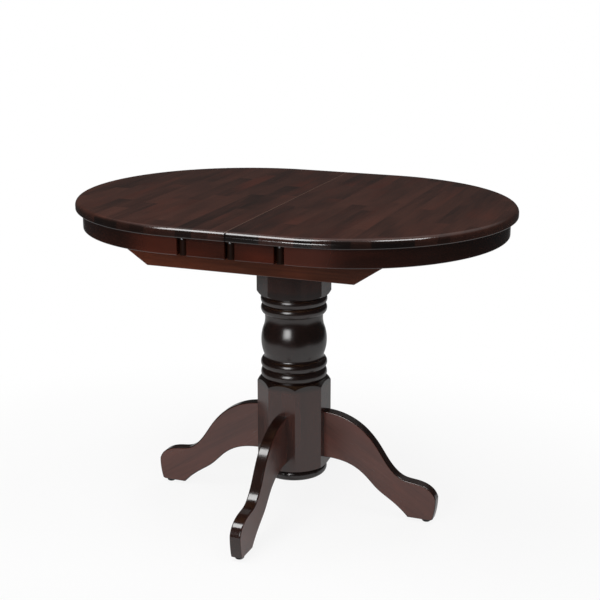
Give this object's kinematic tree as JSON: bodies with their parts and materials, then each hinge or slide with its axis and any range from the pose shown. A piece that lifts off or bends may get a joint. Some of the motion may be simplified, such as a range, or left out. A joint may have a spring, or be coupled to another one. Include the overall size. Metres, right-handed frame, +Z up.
{
  "type": "butterfly leaf table",
  "caption": "Oval pedestal dining table whose top parts in the middle on wooden slides and stores a folding butterfly leaf beneath it.",
  "frame": {"origin": "on the floor, under the centre of the column", "axes": "+Z up, +X along the closed top's long axis, +Y away from the front, across the top and along the seam"},
  "size_m": [1.044, 0.788, 0.762],
  "materials": {
    "top_wood": "dark brown stained solid wood staves under a satin-gloss lacquer",
    "apron_wood": "reddish brown stained wood under a satin-gloss lacquer",
    "pedestal_wood": "dark brown stained wood under a gloss lacquer",
    "plain_wood": "unstained hardwood, planed and waxed",
    "pin_wood": "plain hardwood dowel",
    "steel": "bright zinc plate",
    "brass": "plain brass, slightly dulled",
    "glide_plastic": "moulded black plastic",
    "felt": "dense wool felt"
  },
  "bodies": {
    "base": {"column": "pedestal_wood", "column_plug": "pedestal_wood", "column_plate": "plain_wood", "plate_screws": "steel", "leg_right": "pedestal_wood", "leg_back": "pedestal_wood", "leg_left": "pedestal_wood", "leg_front": "pedestal_wood", "leg_glides": "glide_plastic", "leg_bolts": "steel", "leg_nuts": "steel", "frame_deck": "plain_wood", "frame_bolts": "steel", "frame_nuts": "steel", "leaf_felts": "felt", "pivot_bush": "brass", "frame_bearer_left": "plain_wood", "frame_bearer_right": "plain_wood", "frame_rail_front": "apron_wood", "frame_rail_back": "apron_wood", "slide_strip_front": "plain_wood", "slide_strip_back": "plain_wood", "slide_stops": "plain_wood", "strip_screws": "steel"},
    "left_half": {"top_left": "top_wood", "apron_left_curved": "apron_wood", "apron_left_front": "apron_wood", "apron_left_back": "apron_wood", "joint_blocks_left": "apron_wood", "seam_blocks": "apron_wood", "seam_pins": "pin_wood", "runner_left_front": "plain_wood", "runner_left_back": "plain_wood", "brackets_left": "steel", "block_screws_left": "steel", "top_screws_left": "steel", "lock_bases": "steel"},
    "right_half": {"top_right": "top_wood", "apron_right_curved": "apron_wood", "apron_right_front": "apron_wood", "apron_right_back": "apron_wood", "joint_blocks_right": "apron_wood", "runner_right_front": "plain_wood", "runner_right_back": "plain_wood", "brackets_right": "steel", "block_screws_right": "steel", "top_screws_right": "steel", "lock_keepers": "steel"},
    "front_lever": {"lock_lever_front": "steel"},
    "back_lever": {"lock_lever_back": "steel"},
    "leaf_turning_half": {"leaf_lower": "top_wood", "leaf_pivot_plate": "steel", "leaf_hinge_lower": "brass", "leaf_hinge_pins": "brass", "leaf_screws_lower": "brass"},
    "leaf_folding_half": {"leaf_upper": "top_wood", "leaf_hinge_upper": "brass", "leaf_pins": "pin_wood", "leaf_screws_upper": "brass"}
  },
  "joints": [
    {"name": "left_half_slide", "type": "slide", "parent": "base", "child": "left_half", "axis": [-1, 0, 0], "range_m": [0, 0.245]},
    {"name": "right_half_slide", "type": "slide", "parent": "base", "child": "right_half", "axis": [1, 0, 0], "range_m": [0, 0.245]},
    {"name": "front_lock", "type": "hinge", "parent": "left_half", "child": "front_lever", "pos_m": [-0.028, -0.165, 0.7365], "axis": [0, 0, 1], "range_deg": [0, 80]},
    {"name": "back_lock", "type": "hinge", "parent": "left_half", "child": "back_lever", "pos_m": [-0.028, 0.165, 0.7365], "axis": [0, 0, -1], "range_deg": [0, 80]},
    {"name": "leaf_turn", "type": "hinge", "parent": "base", "child": "leaf_turning_half", "pos_m": [-0.05713, -0.05713, 0.669], "axis": [0, 0, 1], "range_deg": [0, 12]},
    {"name": "leaf_fold", "type": "hinge", "parent": "leaf_turning_half", "child": "leaf_folding_half", "pos_m": [0, -0.11425, 0.69025], "axis": [1, 0, 0], "range_deg": [0, 4.5]}
  ]
}
